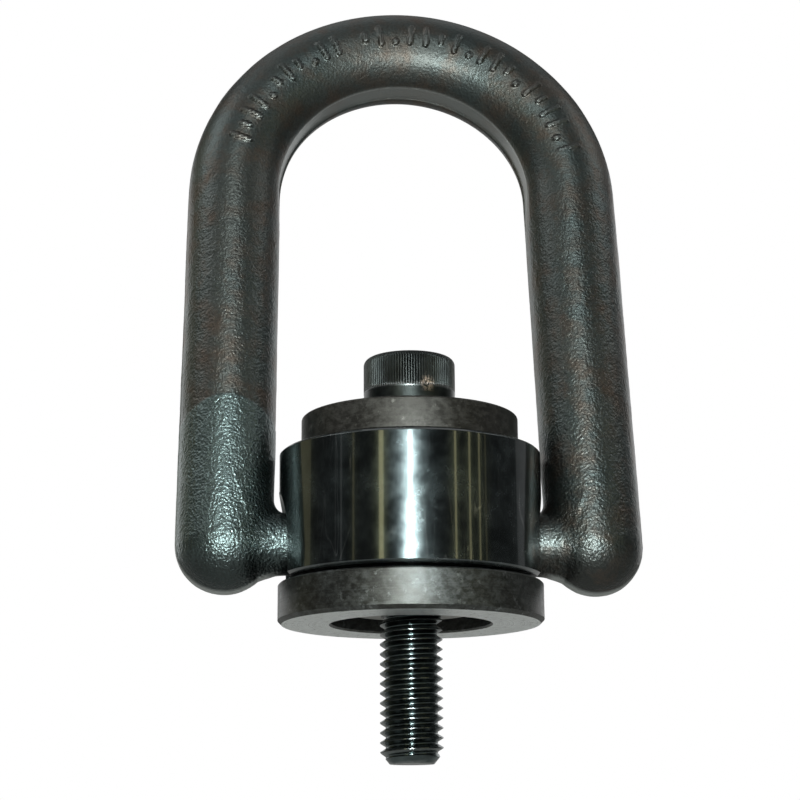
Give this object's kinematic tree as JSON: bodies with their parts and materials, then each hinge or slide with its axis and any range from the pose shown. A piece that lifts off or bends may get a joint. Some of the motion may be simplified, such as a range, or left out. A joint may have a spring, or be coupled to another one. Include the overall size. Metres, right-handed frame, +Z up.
{
  "type": "swivel hoist ring",
  "caption": "Swivel hoist ring: forged U bail on trunnions in a turning block, on a flanged bushing held by a socket head cap screw.",
  "frame": {"origin": "centre of the flange's seat face, on the screw's axis", "axes": "+Z up the screw towards its head and the bail, +X along the trunnions, -Y towards the side that the picture shows"},
  "size_m": [0.0962, 0.0576, 0.1699],
  "materials": {
    "forged_bail": "forged black oxide, pebbled satin",
    "polished_body": "ground and polished black oxide, glossy",
    "machined_flange": "turned steel, dark sides and a bright seat face",
    "machined_washer": "turned steel, dull black oxide",
    "screw": "black oxide alloy steel",
    "retaining_rings": "plain steel"
  },
  "bodies": {
    "base": {"flanged_bushing": "machined_flange", "top_washer": "machined_washer"},
    "screw": {"socket_head_screw": "screw", "screw_retaining_ring": "retaining_rings"},
    "swivel": {"swivel_body": "polished_body", "trunnion_retaining_ring": "retaining_rings"},
    "bail": {"u_bar": "forged_bail"}
  },
  "joints": [
    {"name": "body_swivel", "type": "hinge", "parent": "base", "child": "swivel", "pos_m": [0, 0, 0.022], "axis": [0, 0, 1], "continuous": true},
    {"name": "bail_pivot", "type": "hinge", "parent": "swivel", "child": "bail", "pos_m": [0, 0, 0.0163], "axis": [1, 0, 0], "range_deg": [-80, 100]},
    {"name": "screw_spin", "type": "hinge", "parent": "base", "child": "screw", "pos_m": [0, 0, 0.022], "axis": [0, 0, 1], "continuous": true}
  ]
}
